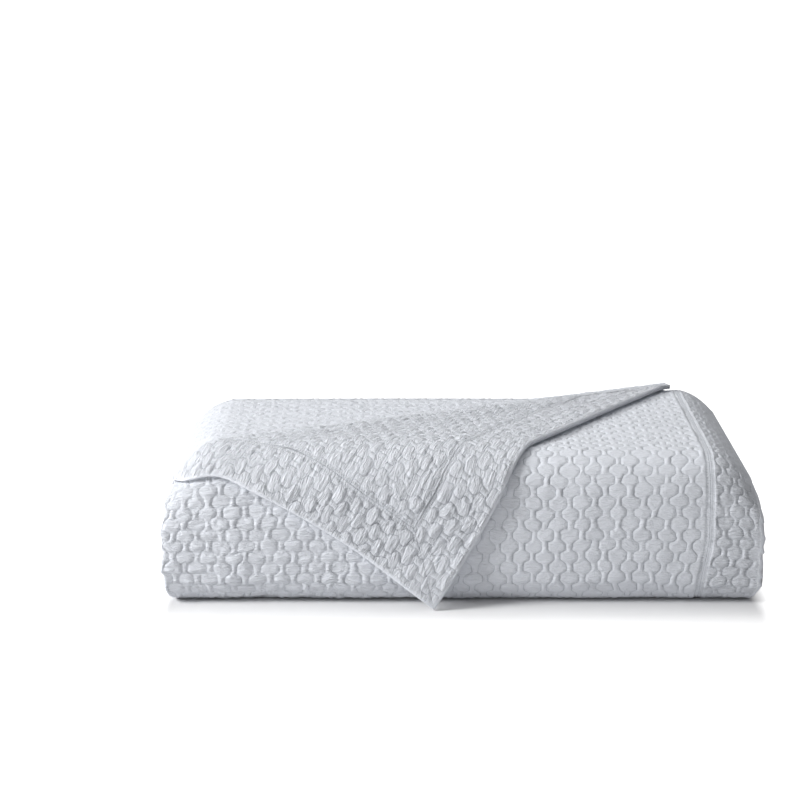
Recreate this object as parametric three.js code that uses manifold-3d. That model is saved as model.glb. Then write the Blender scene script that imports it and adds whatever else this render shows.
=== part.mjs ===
// A folded quilted coverlet. One cloth is folded back and forth into a stack of layers, its outer layer is
// wrapped round the front, and its top corner is turned over, so that the reverse hangs to the floor.
// Millimetres, +Z up, front towards -Y, right end towards +X, resting on Z = 0.
import * as THREE from "three";
import Module from "manifold-3d";

const wasm = await Module();
wasm.setup();

// Driving sizes of the stack
const stackWidth = 640;
const stackDepth = 350;
const stackHeight = 162;
const wraps = 9;
const clothThickness = 6.6;
const topBend = 38;
const bottomBend = 30;
const gap = 0.4;

// Driving sizes of the quilting: pads in upright chains, neighbouring chains half a repeat apart
const chainPitch = 12.7;
const rowPitch = 11.9;
const padRise = 1.0;
const neckShare = -0.8;
const padUnevenness = 0.2;
const hemBand = 5;
const hemTaper = 1.6;

// Driving sizes of the borders and of the turned corner
const borderWidth = 57;
const borderPitch = 11.75;
const borderRise = 1.1;
const tipX = -31;
const tipClearance = 0.8;
const flapClearance = 3.0;
const flapThickness = 5.4;
const flapRise = 0.9;
const flapHemTaper = 1.2;
const tipKick = 6;
const kickHeight = 70;
const hemBow = 18;
const bowSpan = 150;
const bowRoom = 20;

// Driving sizes of the crease: its roll reaches rollStub to either side, and the pads fade out beside it
const rollStub = 12;
const creaseReach = 4;
const creaseFade = [10, 24];

// Sizes that follow from them
const end = stackWidth / 2;
const layerPitch = (stackHeight - clothThickness) / (2 * wraps - 1);
const half = clothThickness / 2;
const frontTop = stackHeight - topBend;
const unrollRadius = topBend + 2;
const bendLength = (unrollRadius * Math.PI) / 2;
const lowerBendStart = bendLength + frontTop - bottomBend;
const lowerBendLength = (bottomBend * Math.PI) / 2;
const backT = stackDepth - topBend;
const bottomRunStart = -(lowerBendStart + lowerBendLength);
const rightSeam = end - borderWidth - 3;
const stubY = stackDepth - 20;

// A place on the outer layer: x along the stack, t along the cloth from where the top run meets the front
// bend (back is positive, down the front is negative), and h out of the cloth.
function unsettled(t, h) {
  if (t >= 0) return [topBend + t, stackHeight + h];
  if (t > -bendLength) {
    const angle = -t / unrollRadius;
    const radius = topBend + h;
    return [topBend - radius * Math.sin(angle), frontTop + radius * Math.cos(angle)];
  }
  if (-t <= lowerBendStart) return [-h, frontTop + bendLength + t];
  const under = -t - lowerBendStart;
  if (under < lowerBendLength) {
    const angle = under / bottomBend;
    const radius = bottomBend + h;
    return [bottomBend - radius * Math.cos(angle), bottomBend - radius * Math.sin(angle)];
  }
  return [bottomBend + under - lowerBendLength, -h];
}

function wrapped(x, t, h) {
  return settled(x, ...unsettled(t, h), unsettled(t, 0)[1]);
}

// The turned corner hangs straight down where the outer layer curves under, and kicks out at its tip.
function hanging(x, t, h) {
  if (-t <= bendLength) return wrapped(x, t, h);
  const z = frontTop + bendLength + t;
  const low = THREE.MathUtils.smoothstep(kickHeight - z, 0, kickHeight);
  return settled(x, -h - tipKick * low, z, z);
}

// Settling of the stack: its ends sag and pull in above and below, and its front bulges at mid-height.
const sagFrom = 255;
const sagShare = 0.28;
const widest = 85;
const pullFrom = 265;
const pullIn = 10;
const frontBulge = 8;
const bulgeDepth = 160;

// level is the height of the middle of the cloth, so that a layer is moved as a whole.
function settled(x, y, z, level) {
  const above = level > widest;
  const away = above ? (level - widest) / (stackHeight - widest) : (widest - level) / widest;
  const outer = Math.max(0, (Math.abs(x) - pullFrom) / (end - pullFrom));
  const place = x - Math.sign(x) * outer * pullIn * away ** 4;
  const sag = 1 - sagShare * Math.max(0, (Math.abs(place) - sagFrom) / (end - sagFrom)) ** 2.2;
  const middle = stackHeight / 2;
  const bulge = frontBulge * (1 - ((z - middle) / middle) ** 2) * Math.max(0, 1 - y / bulgeDepth);
  return [place, y - bulge, z * sag];
}

// Solids
function solidOf(points, triangles) {
  const mesh = new wasm.Mesh({
    numProp: 3,
    vertProperties: new Float32Array(points.flat()),
    triVerts: new Uint32Array(triangles.flat()),
  });
  return new wasm.Manifold(mesh);
}

function geometryOf(solid) {
  const mesh = solid.getMesh();
  const flat = [];
  for (let i = 0; i < mesh.vertProperties.length; i += mesh.numProp) {
    flat.push(...mesh.vertProperties.slice(i, i + 3));
  }
  const geometry = new THREE.BufferGeometry();
  geometry.setAttribute("position", new THREE.Float32BufferAttribute(flat, 3));
  geometry.setIndex(Array.from(mesh.triVerts));
  return geometry;
}

// A small repeatable unevenness from two whole numbers, between -1 and 1.
function uneven(i, j) {
  const value = Math.sin(i * 12.9898 + j * 78.233) * 43758.5453;
  return 2 * (value - Math.floor(value)) - 1;
}

// Flat outlines: a plane keeps the points with a * x + b * t >= c.
function clipped(polygon, planes) {
  let kept = polygon;
  for (const { a, b, c } of planes) {
    const side = (p) => a * p[0] + b * p[1] - c;
    const next = [];
    kept.forEach((p, i) => {
      const q = kept[(i + 1) % kept.length];
      const [sp, sq] = [side(p), side(q)];
      if (sp >= 0) next.push(p);
      if (sp >= 0 !== sq >= 0) {
        const [low, high] = sp < sq ? [p, q] : [q, p];
        const share = side(low) / (side(low) - side(high));
        next.push(low.map((v, k) => v + (high[k] - v) * share));
      }
    });
    kept = next;
  }
  return kept;
}

// A face of a slab: the cells of a lattice of lines, cut to the outline. Each cell is split from neck to neck
// or from pad to pad in turn, so that a pad is a low pyramid over its four cells.
function faceOf({ first, second, place, height }, planes) {
  const points = [];
  const triangles = [];
  const known = new Map();
  const indexOf = (p) => {
    const key = `${Math.round(p[0] * 200)},${Math.round(p[1] * 200)}`;
    if (!known.has(key)) {
      known.set(key, points.length);
      points.push(p);
    }
    return known.get(key);
  };
  const corner = (i, j) => [...place(first[i], second[j]), height(i, j, first[i], second[j])];
  for (let i = 0; i + 1 < first.length; i += 1) {
    for (let j = 0; j + 1 < second.length; j += 1) {
      const cell = [corner(i, j), corner(i + 1, j), corner(i + 1, j + 1), corner(i, j + 1)];
      if ((i + j) % 2 === 0) cell.push(cell.shift());
      for (const triangle of [[cell[0], cell[1], cell[2]], [cell[0], cell[2], cell[3]]]) {
        const polygon = clipped(triangle, planes).map(indexOf);
        const ring = polygon.filter((v, k) => v !== polygon[(k + 1) % polygon.length]);
        for (let k = 1; k + 1 < ring.length; k += 1) {
          const [a, b, c] = [ring[0], ring[k], ring[k + 1]];
          const [p, q, r] = [points[a], points[b], points[c]];
          const turn = (q[0] - p[0]) * (r[1] - p[1]) - (q[1] - p[1]) * (r[0] - p[0]);
          if (new Set([a, b, c]).size === 3) triangles.push(turn > 0 ? [a, b, c] : [a, c, b]);
        }
      }
    }
  }
  return { points, triangles };
}

// The rim of a face, as one ring of point numbers that starts at a corner of the outline.
function rimOf({ points, triangles }, start) {
  const next = new Map();
  for (const [a, b, c] of triangles) {
    for (const [p, q] of [[a, b], [b, c], [c, a]]) next.set(`${p},${q}`, [p, q]);
  }
  const follow = new Map();
  for (const [p, q] of next.values()) {
    if (!next.has(`${q},${p}`)) follow.set(p, q);
  }
  const nearest = (spot) => {
    const far = (v) => Math.hypot(points[v][0] - spot[0], points[v][1] - spot[1]);
    return [...follow.keys()].reduce((best, v) => (far(v) < far(best) ? v : best));
  };
  const ring = [nearest(start)];
  for (let v = follow.get(ring[0]); v !== ring[0]; v = follow.get(v)) ring.push(v);
  return { ring, nearest };
}

// A slab of cloth between an upper and a lower face of the same outline, put in place by a map.
function slab({ planes, upper, lower, map }) {
  const reach = 900;
  const square = [[-reach, -reach], [reach, -reach], [reach, reach], [-reach, reach]];
  const outline = clipped(square, planes);
  const top = faceOf(upper, planes);
  const bottom = faceOf(lower, planes);
  const sidesOf = (face) => {
    const { ring, nearest } = rimOf(face, outline[0]);
    const marks = [...outline.map((spot) => ring.indexOf(nearest(spot))), ring.length];
    return outline.map((_, i) => [...ring.slice(marks[i], marks[i + 1]), ring[marks[i + 1] % ring.length]]);
  };
  const count = top.points.length;
  const points = [...top.points, ...bottom.points].map(([x, t, h]) => map(x, t, h));
  const turned = bottom.triangles.map(([a, b, c]) => [a + count, c + count, b + count]);
  const triangles = [...top.triangles, ...turned];
  const [topSides, bottomSides] = [sidesOf(top), sidesOf(bottom)];
  outline.forEach((from, s) => {
    const to = outline[(s + 1) % outline.length];
    const long = Math.hypot(to[0] - from[0], to[1] - from[1]);
    const share = (p) => Math.hypot(p[0] - from[0], p[1] - from[1]) / long;
    const [over, under] = [topSides[s], bottomSides[s]];
    let [i, j] = [0, 0];
    while (i + 1 < over.length || j + 1 < under.length) {
      const nextOver = i + 1 < over.length ? share(top.points[over[i + 1]]) : 2;
      const nextUnder = j + 1 < under.length ? share(bottom.points[under[j + 1]]) : 2;
      if (nextUnder <= nextOver + 1e-4) {
        triangles.push([under[j] + count, under[j + 1] + count, over[i]]);
        j += 1;
      } else {
        triangles.push([under[j] + count, over[i + 1], over[i]]);
        i += 1;
      }
    }
  });
  return solidOf(points, triangles);
}

// A solid through rings of points, one ring a station, closed by caps of the ring's flat shape.
function lofted(rings, flat) {
  const count = flat.length;
  const triangles = [];
  for (let s = 0; s + 1 < rings.length; s += 1) {
    for (let i = 0; i < count; i += 1) {
      const j = (i + 1) % count;
      const [a, b] = [s * count + i, s * count + j];
      triangles.push([a, b, a + count], [b, b + count, a + count]);
    }
  }
  const last = (rings.length - 1) * count;
  const hand = Math.sign(THREE.ShapeUtils.area(flat));
  for (const [a, b, c] of THREE.ShapeUtils.triangulateShape(flat, [])) {
    const same = Math.sign(THREE.ShapeUtils.area([flat[a], flat[b], flat[c]])) === hand;
    const [p, q] = same ? [b, c] : [c, b];
    triangles.push([a, q, p], [last + a, last + p, last + q]);
  }
  const solid = solidOf(rings.flat(), triangles);
  return solid.volume() > 0 ? solid : solidOf(rings.flat(), triangles.map(([a, b, c]) => [a, c, b]));
}

// Lines for lattices
function linesBetween(from, to, pitch) {
  const steps = Math.max(1, Math.round(Math.abs(to - from) / pitch));
  return Array.from({ length: steps + 1 }, (_, i) => from + ((to - from) * i) / steps);
}

// The height of a pad or a neck at a crossing of the lattice, softened towards plain edges.
function relief(i, j, rise, fade) {
  const share = (i + j) % 2 === 0 ? 1 : neckShare;
  return fade * rise * (share + padUnevenness * uneven(i, j));
}

// Stations along the stack: how thick half a layer is there, and how far its end stands out of line.
const rightStations = [
  { x: pullFrom, half, stagger: 0 },
  { x: end - 25, half, stagger: 0 },
  { x: end - 12, half, stagger: 0.5 },
  { x: end - 2.5, half: 2.7, stagger: 1 },
  { x: end, half: 1.4, stagger: 1 },
];
const leftStations = rightStations.map((station) => ({ ...station, x: -station.x })).reverse();
const stations = [...leftStations, ...rightStations];

// The lattice of the inside faces, which are plain: finer where the cloth bends
const insidePitch = { along: 130, below: 120, lowerBend: 12, front: 16, upperBend: 10, above: 90 };
const plainLines = {
  first: [...stations.map(({ x }) => x), -insidePitch.along, 0, insidePitch.along].sort((a, b) => a - b),
  second: [
    ...linesBetween(-560, bottomRunStart, insidePitch.below),
    ...linesBetween(bottomRunStart + insidePitch.lowerBend, -lowerBendStart, insidePitch.lowerBend),
    ...linesBetween(-lowerBendStart + insidePitch.front, -bendLength, insidePitch.front),
    ...linesBetween(-bendLength + insidePitch.upperBend, 0, insidePitch.upperBend),
    ...linesBetween(60, backT + 12, insidePitch.above),
  ],
  place: (x, t) => [x, t],
};

// The crease of the turned corner runs where its tip folds back onto the stack's back left corner.
const tipT = -(bendLength + frontTop - tipClearance);
const tip = new THREE.Vector2(tipX, tipT);
const homeCorner = new THREE.Vector2(-end, backT);
const inward = tip.clone().sub(homeCorner).normalize();
const along = new THREE.Vector2(-inward.y, inward.x);
const creaseMiddle = tip.clone().add(homeCorner).multiplyScalar(0.5);
const creaseAt = (x) => creaseMiddle.y + ((x - creaseMiddle.x) * along.y) / along.x;
const fromCrease = (share) => ({ a: inward.x, b: inward.y, c: inward.dot(creaseMiddle) + share });

// The two hems of the turned corner, as directions from its tip
const sideHem = new THREE.Vector2(-end, creaseAt(-end)).sub(tip);
const sideHemLength = sideHem.length();
sideHem.normalize();
const endHem = new THREE.Vector2(sideHem.y, -sideHem.x);
const endHemLength = sideHemLength * Math.abs(inward.dot(sideHem) / inward.dot(endHem));

// A plane across the turned corner, by how much of u (along the side hem) and w (along the end hem) counts.
function cornerPlane(u, w, least) {
  const a = u * sideHem.x + w * endHem.x;
  const b = u * sideHem.y + w * endHem.y;
  return { a, b, c: least + a * tip.x + b * tip.y };
}

// Rise of the pads: fuller at the left of the stack, flatter at the right, and none beside the crease.
const riseAt = (x) => padRise * THREE.MathUtils.mapLinear(x, -end, end, 1.2, 0.8);
const besideCrease = (x, t) => THREE.MathUtils.smoothstep((creaseAt(x) - t) * along.x, ...creaseFade);

// The folded section of the inner layers, as a path of runs, front corners and back turns
const staggerDepth = 5;
const turnInset = 8;
const turnUnevenness = 3;
const frontSlack = 0.3;
const lowerTightening = 1.2;
const upperTightening = 1.5;

function sectionOutline(halfThickness) {
  const [left, right] = [[], []];
  const put = (side, y, z, layer, level) => side.push({ y, z, layer, level });
  const arc = (y, z, radius, from, to, layer, last) => {
    const turn = Math.sign(to - from);
    for (const [side, r] of [[left, radius - turn * halfThickness], [right, radius + turn * halfThickness]]) {
      const wide = Math.abs(to - from) > 2;
      const centreRadius = side === left ? radius - turn * half : radius + turn * half;
      const steps = centreRadius < 2 ? 1 : wide || centreRadius > 16 ? 3 : 2;
      for (let i = 0; i <= steps - (last ? 0 : 1); i += 1) {
        const angle = from + ((to - from) * i) / steps;
        put(side, y + r * Math.cos(angle), z + r * Math.sin(angle), layer, z + radius * Math.sin(angle));
      }
    }
  };
  const layerZ = (k) => k * layerPitch + half;
  const backY = (k, upper) => stackDepth - turnInset - turnUnevenness * (1 + uneven(k, upper ? 3 : 7));
  const startZ = half;
  put(left, stubY, startZ + halfThickness, 0, startZ);
  put(right, stubY, startZ - halfThickness, 0, startZ);
  const quarter = Math.PI / 2;
  const firstTurn = (startZ + layerZ(1)) / 2;
  arc(backY(0, false), firstTurn, (layerZ(1) - startZ) / 2, -quarter, quarter, 0.5, true);
  for (let k = 1; k < wraps; k += 1) {
    const low = layerZ(k);
    const high = stackHeight - low;
    const front = k * (layerPitch + frontSlack) + half;
    const limit = (high - low) / 2;
    const lower = Math.min(bottomBend - half - lowerTightening * k, limit);
    const upper = Math.min(topBend - half - upperTightening * k, high - low - lower, limit);
    const touching = high - low - lower - upper < 0.01;
    const lowerSpot = [front + lower, low + lower, lower];
    const upperSpot = [front + upper, high - upper, upper];
    if (k % 2 === 1) {
      arc(...lowerSpot, 3 * quarter, 2 * quarter, k, !touching);
      arc(...upperSpot, 2 * quarter, quarter, k, true);
    } else {
      arc(...upperSpot, quarter, 2 * quarter, k, !touching);
      arc(...lowerSpot, 2 * quarter, 3 * quarter, k, true);
    }
    const climbing = k % 2 === 1;
    const from = climbing ? high : low;
    if (k + 1 < wraps) {
      const nextZ = climbing ? stackHeight - layerZ(k + 1) : layerZ(k + 1);
      const [a, b] = climbing ? [quarter, -quarter] : [-quarter, quarter];
      arc(backY(k, climbing), (from + nextZ) / 2, Math.abs(nextZ - from) / 2, a, b, k + 0.5, true);
    } else {
      put(left, stackDepth - turnInset, from + halfThickness, k, from);
      put(right, stackDepth - turnInset, from - halfThickness, k, from);
    }
  }
  return [...left, ...right.reverse()];
}

function foldedLayers() {
  const rings = stations.map(({ x, half: halfThickness, stagger }) => {
    const hand = Math.sign(x);
    return sectionOutline(halfThickness).map(({ y, z, level, layer }) => {
      const short = 0.5 + 0.5 * uneven(2 * layer, hand > 0 ? 11 : 5);
      return settled(x - hand * stagger * staggerDepth * short, y, z, level);
    });
  });
  return lofted(rings, rings[0].map(([, y, z]) => new THREE.Vector2(y, z)));
}

// The outer layer, from the back of the bottom run round the front to the crease
const bottomRunEnd = bottomRunStart - (stackDepth - bottomBend - turnInset);
const outerRows = [
  ...linesBetween(bottomRunEnd, bottomRunStart, insidePitch.below),
  ...linesBetween(bottomRunStart + rowPitch, backT - hemBand, rowPitch),
  backT,
];
const restBand = 22;
const aboveRest = (t) => THREE.MathUtils.smoothstep(t, bottomRunStart, bottomRunStart + restBand);
const taperAt = (x) => (end - Math.abs(x) < 1 ? hemTaper : 0);

function outerLayer() {
  const firstChain = -end + hemBand;
  const columns = [-end, ...linesBetween(firstChain, rightSeam - hemBand, chainPitch), rightSeam];
  const last = columns.length - 1;
  return slab({
    planes: [
      { a: 1, b: 0, c: -end },
      { a: -1, b: 0, c: -rightSeam },
      { a: 0, b: 1, c: bottomRunEnd },
      { a: 0, b: -1, c: -backT },
      fromCrease(creaseReach),
    ],
    upper: {
      first: columns,
      second: outerRows,
      place: (x, t) => [x, t],
      height: (i, j, x, t) => {
        const plain = i === 0 || i === last ? 0 : 1;
        return relief(i, j, riseAt(x), plain * besideCrease(x, t) * aboveRest(t)) - taperAt(x);
      },
    },
    lower: { ...plainLines, height: (i, j, x) => taperAt(x) - clothThickness },
    map: wrapped,
  });
}

// The roll of cloth along the crease, which joins the outer layer to the turned corner
function creaseRoll() {
  const inset = 0.3;
  const [fine, coarse] = [9, 230];
  const flapTop = flapClearance + flapThickness;
  const middle = (flapTop - clothThickness) / 2;
  const outer = (flapTop + clothThickness) / 2;
  const inner = flapClearance / 2;
  const profile = [[rollStub, flapTop - inset]];
  for (let i = 0; i <= 6; i += 1) {
    const angle = Math.PI / 2 + (Math.PI * i) / 6;
    profile.push([outer * Math.cos(angle), middle + (outer - inset) * Math.sin(angle)]);
  }
  profile.push([rollStub, -clothThickness + inset], [rollStub, -inset]);
  for (let i = 0; i <= 3; i += 1) {
    const angle = -Math.PI / 2 - (Math.PI * i) / 3;
    profile.push([inner * Math.cos(angle), flapClearance / 2 + (inner + inset) * Math.sin(angle)]);
  }
  profile.push([rollStub, flapClearance + inset]);
  const length = (x) => (x - creaseMiddle.x) / along.x;
  const firstStop = length(-end + 5);
  const topStop = length(creaseMiddle.x - (creaseMiddle.y * along.x) / along.y);
  const lastStop = length(rightSeam - 14);
  const stops = [...linesBetween(firstStop, topStop, fine), ...linesBetween(topStop + 26, lastStop, coarse)];
  const rings = stops.map((stop) =>
    profile.map(([d, h]) => {
      const spot = creaseMiddle.clone().addScaledVector(along, stop).addScaledVector(inward, d);
      return wrapped(spot.x, spot.y, h);
    }),
  );
  return lofted(rings, profile.map(([d, h]) => new THREE.Vector2(d, h)));
}

// The turned corner: chains run along u, from the tip along the side hem, and pads lie along w.
const borderRows = linesBetween(hemBand + borderPitch, borderWidth - hemBand, borderPitch);
const bandLines = [0, hemBand, ...borderRows, borderWidth];
const uLines = [...bandLines, ...linesBetween(borderWidth + hemBand, sideHemLength + 10, rowPitch)];
const wLines = [...bandLines, ...linesBetween(borderWidth + hemBand, endHemLength + 20, chainPitch)];
const seamLines = [0, bandLines.length - 1];

function bowedHanging(x, t, h) {
  const spot = new THREE.Vector2(x, t).sub(tip);
  const [u, w] = [spot.dot(sideHem), spot.dot(endHem)];
  const room = endHemLength * (1 - u / sideHemLength) - bowRoom;
  const fade = THREE.MathUtils.smoothstep(room - w, 0, Math.min(bowSpan, Math.max(room, 1)));
  const bow = hemBow * Math.sin(Math.PI * THREE.MathUtils.clamp(u / sideHemLength, 0, 1)) * fade;
  return hanging(x, t + bow, h);
}

function cornerSlab(planes) {
  const taper = (u, w) => (Math.min(u, w) < 1 ? flapHemTaper : 0);
  const lattice = {
    first: uLines,
    second: wLines,
    place: (u, w) => [tip.x + u * sideHem.x + w * endHem.x, tip.y + u * sideHem.y + w * endHem.y],
  };
  return slab({
    planes: [cornerPlane(1, 0, 0), cornerPlane(0, 1, 0), ...planes],
    upper: {
      ...lattice,
      height: (i, j, u, w) => {
        const [x, t] = lattice.place(u, w);
        const plain = seamLines.includes(i) || seamLines.includes(j) || i < 2 || j < 2 ? 0 : 1;
        const pads = relief(i, j, flapRise * padRise, plain * besideCrease(x, t));
        return flapClearance + flapThickness - taper(u, w) + pads;
      },
    },
    lower: {
      ...lattice,
      height: (i, j, u, w) => flapClearance + taper(u, w),
    },
    map: bowedHanging,
  });
}

const seamHalf = gap / 2;
const mitreHalf = 0.75 * gap;
const borderStop = rollStub + 3 * gap;
const sideStripShort = 28;

function cornerField() {
  return cornerSlab([
    cornerPlane(1, 0, borderWidth + seamHalf),
    cornerPlane(0, 1, borderWidth + seamHalf),
    fromCrease(creaseReach),
  ]);
}

function sideStrip() {
  return cornerSlab([
    cornerPlane(0, -1, seamHalf - borderWidth),
    cornerPlane(1, -1, mitreHalf),
    cornerPlane(-1, 0, sideStripShort - sideHemLength),
    fromCrease(borderStop),
  ]);
}

function endStrip() {
  return cornerSlab([
    cornerPlane(-1, 0, seamHalf - borderWidth),
    cornerPlane(-1, 1, mitreHalf),
    fromCrease(borderStop),
  ]);
}

// The border strip along the right edge of the outer layer
function rightStrip() {
  const from = rightSeam + gap;
  const rows = linesBetween(from + hemBand + borderPitch, end - hemBand, borderPitch);
  const columns = [from, from + hemBand, ...rows, end];
  const last = columns.length - 1;
  return slab({
    planes: [
      { a: 1, b: 0, c: from },
      { a: -1, b: 0, c: -end },
      { a: 0, b: 1, c: bottomRunStart - (stubY - bottomBend) + gap },
      { a: 0, b: -1, c: -backT },
    ],
    upper: {
      first: columns,
      second: outerRows,
      place: (x, t) => [x, t],
      height: (i, j, x, t) => {
        const plain = i === 0 || i === last || t > backT - 1 ? 0 : 1;
        return relief(i, j, borderRise * padRise, plain * aboveRest(t)) - taperAt(x);
      },
    },
    lower: { ...plainLines, height: (i, j, x) => taperAt(x) - clothThickness },
    map: wrapped,
  });
}

const cottonFace = { color: 0xe3e6eb, roughness: 0.92, metalness: 0 };
const cottonReverse = { color: 0xe6e8ec, roughness: 0.94, metalness: 0 };

const panel = foldedLayers().add(outerLayer()).add(creaseRoll()).add(cornerField());
const pieces = [
  { name: "quilted_panel", solid: panel, finish: cottonFace },
  { name: "border_right", solid: rightStrip(), finish: cottonFace },
  { name: "border_corner_side", solid: sideStrip(), finish: cottonReverse },
  { name: "border_corner_end", solid: endStrip(), finish: cottonReverse },
];

const coverlet = new THREE.Group();
for (const { name, solid, finish } of pieces) {
  const mesh = new THREE.Mesh(geometryOf(solid), new THREE.MeshStandardMaterial(finish));
  mesh.name = name;
  coverlet.add(mesh);
}

// The origin stands under the middle of the whole.
const bounds = new THREE.Box3().setFromObject(coverlet);
const centre = bounds.getCenter(new THREE.Vector3());
for (const mesh of coverlet.children) mesh.position.set(-centre.x, -centre.y, -bounds.min.z);

export default coverlet;
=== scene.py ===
# Folded quilted coverlet: the looks of its cloth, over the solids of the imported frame.
import math
import bmesh
import bpy
import numpy as np
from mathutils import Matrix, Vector


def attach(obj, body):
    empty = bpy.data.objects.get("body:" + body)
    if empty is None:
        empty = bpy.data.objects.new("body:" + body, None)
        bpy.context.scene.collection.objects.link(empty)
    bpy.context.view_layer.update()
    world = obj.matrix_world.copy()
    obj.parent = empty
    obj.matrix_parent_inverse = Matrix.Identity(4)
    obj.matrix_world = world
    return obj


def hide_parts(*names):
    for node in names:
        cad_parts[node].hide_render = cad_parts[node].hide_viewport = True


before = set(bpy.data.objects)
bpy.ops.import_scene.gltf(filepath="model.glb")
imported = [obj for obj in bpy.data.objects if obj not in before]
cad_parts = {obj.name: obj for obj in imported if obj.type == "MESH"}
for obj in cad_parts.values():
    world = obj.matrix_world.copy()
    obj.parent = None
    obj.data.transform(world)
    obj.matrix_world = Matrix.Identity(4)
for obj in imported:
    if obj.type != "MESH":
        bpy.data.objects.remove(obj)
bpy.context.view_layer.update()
print("frame loaded")

# Sizes of the stack in millimetres, as in the solids
stack = {
    "end": 320.0,
    "depth": 350.0,
    "height": 162.0,
    "wraps": 9,
    "cloth": 6.6,
    "topBend": 38.0,
    "bottomBend": 30.0,
    "rightSeam": 260.0,
    "turnInset": 8.0,
    "toCentre": 166.95,
}
settling = {
    "sagFrom": 255.0,
    "sagShare": 0.28,
    "widest": 85.0,
    "pullFrom": 265.0,
    "pullIn": 10.0,
    "frontBulge": 8.0,
    "bulgeDepth": 160.0,
    "leanTop": 2.0,
    "leanFoot": 9.0,
    "edgeWave": 1.9,
    "edgeBand": 14.0,
    "edgePitch": 7.5,
    "edgeSeed": 58,
}
frontTop = stack["height"] - stack["topBend"]
unrollRadius = stack["topBend"] + 2
bendLength = unrollRadius * math.pi / 2
lowerBendStart = bendLength + frontTop - stack["bottomBend"]
lowerBendLength = stack["bottomBend"] * math.pi / 2
bottomRunStart = -(lowerBendStart + lowerBendLength)
backT = stack["depth"] - stack["topBend"]


# Small helpers on arrays
def smoothStep(value, low, high):
    share = np.clip((value - low) / (high - low), 0, 1)
    return share * share * (3 - 2 * share)


def hashed(i, j, seed):
    value = np.sin(i * 12.9898 + j * 78.233 + seed * 37.719) * 43758.5453
    return 2 * (value - np.floor(value)) - 1


def cloudy(x, y, seed):
    # smooth unevenness between -1 and 1, about one cell wide
    i, j = np.floor(x), np.floor(y)
    a, b = x - i, y - j
    a, b = a * a * (3 - 2 * a), b * b * (3 - 2 * b)
    low = hashed(i, j, seed) * (1 - a) + hashed(i + 1, j, seed) * a
    high = hashed(i, j + 1, seed) * (1 - a) + hashed(i + 1, j + 1, seed) * a
    return low * (1 - b) + high * b


# Where a place on the cloth lies: x along the stack, t along the cloth, h out of it
def settled(x, y, z, level):
    up = (level - settling["widest"]) / (stack["height"] - settling["widest"])
    down = (settling["widest"] - level) / settling["widest"]
    away = np.clip(np.where(level > settling["widest"], up, down), 0, None)
    outer = np.clip((np.abs(x) - settling["pullFrom"]) / (stack["end"] - settling["pullFrom"]), 0, None)
    place = x - np.sign(x) * outer * settling["pullIn"] * away**4
    far = np.clip((np.abs(place) - settling["sagFrom"]) / (stack["end"] - settling["sagFrom"]), 0, None)
    sag = 1 - settling["sagShare"] * far**2.2
    middle = stack["height"] / 2
    front = np.clip(1 - y / settling["bulgeDepth"], 0, None)
    bulge = settling["frontBulge"] * (1 - ((z - middle) / middle) ** 2) * front
    return np.stack([place, y - bulge, z * sag], axis=-1)


def unsettled(t, h):
    topAngle = np.clip(-t / unrollRadius, 0, math.pi / 2)
    topRadius = stack["topBend"] + h
    under = -t - lowerBendStart
    lowAngle = np.clip(under / stack["bottomBend"], 0, math.pi / 2)
    lowRadius = stack["bottomBend"] + h
    y = np.where(t >= 0, stack["topBend"] + t, stack["topBend"] - topRadius * np.sin(topAngle))
    z = np.where(t >= 0, stack["height"] + h, frontTop + topRadius * np.cos(topAngle))
    straight = -t > bendLength
    y = np.where(straight, -h, y)
    z = np.where(straight, frontTop + bendLength + t, z)
    curved = under > 0
    y = np.where(curved, stack["bottomBend"] - lowRadius * np.cos(lowAngle), y)
    z = np.where(curved, stack["bottomBend"] - lowRadius * np.sin(lowAngle), z)
    flat = under > lowerBendLength
    y = np.where(flat, stack["bottomBend"] + under - lowerBendLength, y)
    z = np.where(flat, -h, z)
    return y, z


def leaning(x, t):
    # the border's seam leans inwards towards its foot
    share = smoothStep(x, 175, 255) * smoothStep(stack["end"] - x, 0, 52)
    return x + share * (settling["leanTop"] - settling["leanFoot"] * (1 - smoothStep(t, -178, -104)))


def levelOf(t):
    return unsettled(t, np.zeros_like(t))[1]


def wrapped(x, t, h):
    # the pads also push the ends' edges out here and there
    y, z = unsettled(t, h)
    byEnd = smoothStep(np.abs(x), stack["end"] - settling["edgeBand"], stack["end"])
    byEnd = byEnd * smoothStep(t, bottomRunStart, bottomRunStart + 30) * smoothStep(-t, 0, 20)
    uneven = cloudy(t / settling["edgePitch"], np.sign(x), settling["edgeSeed"])
    pushed = settling["edgeWave"] * byEnd * uneven
    return settled(leaning(x, t) + np.sign(x) * pushed, y, z, levelOf(t))


def levelRows(x, t):
    # rows of pads stay level where the stack's ends sink
    far = np.clip((np.abs(x) - settling["sagFrom"]) / (stack["end"] - settling["sagFrom"]), 0, None)
    return t - levelOf(t) * settling["sagShare"] * far**2.2 * smoothStep(-t, 0, bendLength)


turned = {
    "tipX": -31.0,
    "tipClearance": 0.8,
    "clearance": 3.0,
    "cloth": 5.4,
    "tipKick": 18.0,
    "sway": 0.5,
    "swayHeight": 120.0,
    "hemBulge": 4.0,
    "bulgeReach": 60.0,
    "bulgeRun": 170.0,
    "kickHeight": 70.0,
    "hemBow": 18.0,
    "bowSpan": 150.0,
    "bowRoom": 20.0,
    "hemDip": 9.0,
    "border": 57.0,
}


def hanging(x, t, h):
    z = frontTop + bendLength + t
    low = smoothStep(turned["kickHeight"] - z, 0, turned["kickHeight"])
    sway = turned["sway"] * smoothStep(turned["swayHeight"] - z, 0, turned["swayHeight"])
    down = settled(x + sway, -h - turned["tipKick"] * low, z, z)
    return np.where((-t <= bendLength)[..., None], wrapped(x, t, h), down)


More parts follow.
